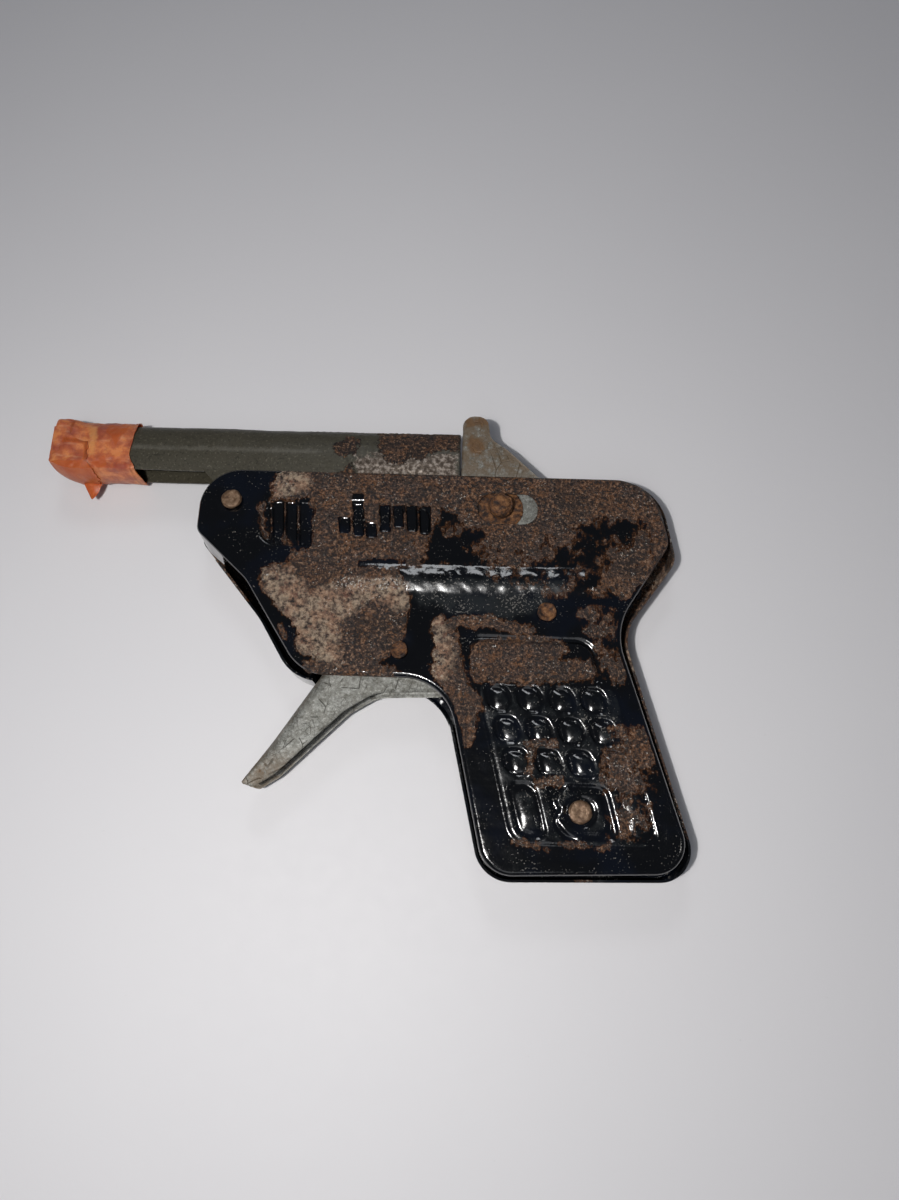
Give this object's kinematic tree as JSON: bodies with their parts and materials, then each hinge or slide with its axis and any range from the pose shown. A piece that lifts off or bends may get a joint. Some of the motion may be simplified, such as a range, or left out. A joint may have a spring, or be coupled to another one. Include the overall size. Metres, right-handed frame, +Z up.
{
  "type": "tin toy pistol",
  "caption": "Pressed tin break-open toy cap pistol with a tilting channel barrel, folded hammer and sprung trigger, lying on its right side.",
  "frame": {"origin": "middle of the footprint, on the plane of the rivet tails that the toy rests on", "axes": "-X along the barrel to the muzzle, +Y from the grip to the barrel's top, +Z up through the toy's left side"},
  "size_m": [0.1261, 0.0892, 0.0136],
  "materials": {
    "black_enamel": "glossy blue-black stoving enamel, rusted through over most of the upper body",
    "olive_paint": "satin olive paint, worn to bare metal and rust towards the breech",
    "zinc_plate": "dull galvanised steel with fine dark crazing",
    "rivet_steel": "tarnished copper-washed steel",
    "rusty_steel": "rusty steel",
    "spring_wire": "dull spring wire",
    "orange_tape": "translucent orange plastic tape, creased, darker where it overlaps"
  },
  "bodies": {
    "frame": {"left_shell": "black_enamel", "right_shell": "black_enamel", "barrel_rivet": "rivet_steel", "barrel_pivot_tube": "zinc_plate", "trigger_rivet": "rusty_steel", "trigger_pivot_tube": "zinc_plate", "anchor_rivet": "rusty_steel", "anchor_tube": "zinc_plate", "grip_rivet": "rivet_steel", "grip_tube": "zinc_plate", "hammer_stud": "rusty_steel", "hammer_spring": "spring_wire", "trigger_spring": "spring_wire"},
    "barrel": {"barrel": "olive_paint", "breech_plate": "zinc_plate", "muzzle_tape": "orange_tape", "muzzle_tape_strip": "orange_tape"},
    "hammer": {"hammer": "zinc_plate", "hammer_washer_left": "rusty_steel", "hammer_washer_right": "zinc_plate"},
    "trigger": {"trigger": "zinc_plate"}
  },
  "joints": [
    {"name": "barrel_hinge", "type": "hinge", "parent": "frame", "child": "barrel", "pos_m": [-0.0243, 0.0249, 0.0061], "axis": [0, 0, 1], "range_deg": [0, 60]},
    {"name": "trigger_hinge", "type": "hinge", "parent": "frame", "child": "trigger", "pos_m": [0.01, -0.0041, 0.0061], "axis": [0, 0, 1], "range_deg": [0, 20], "stiffness_Nm_per_rad": 0.03, "springref_deg": -14.32, "deforming": ["trigger_spring"]},
    {"name": "hammer_hinge", "type": "hinge", "parent": "frame", "child": "hammer", "pos_m": [0.0281, 0.0249, 0.0061], "axis": [0, 0, 1], "range_deg": [-35, 0], "stiffness_Nm_per_rad": 0.0095, "springref_deg": 68.75, "deforming": ["hammer_spring"]}
  ],
  "couplings": [
    {"joint": "hammer_hinge", "follows": "trigger_hinge", "ratio": -1.75}
  ]
}
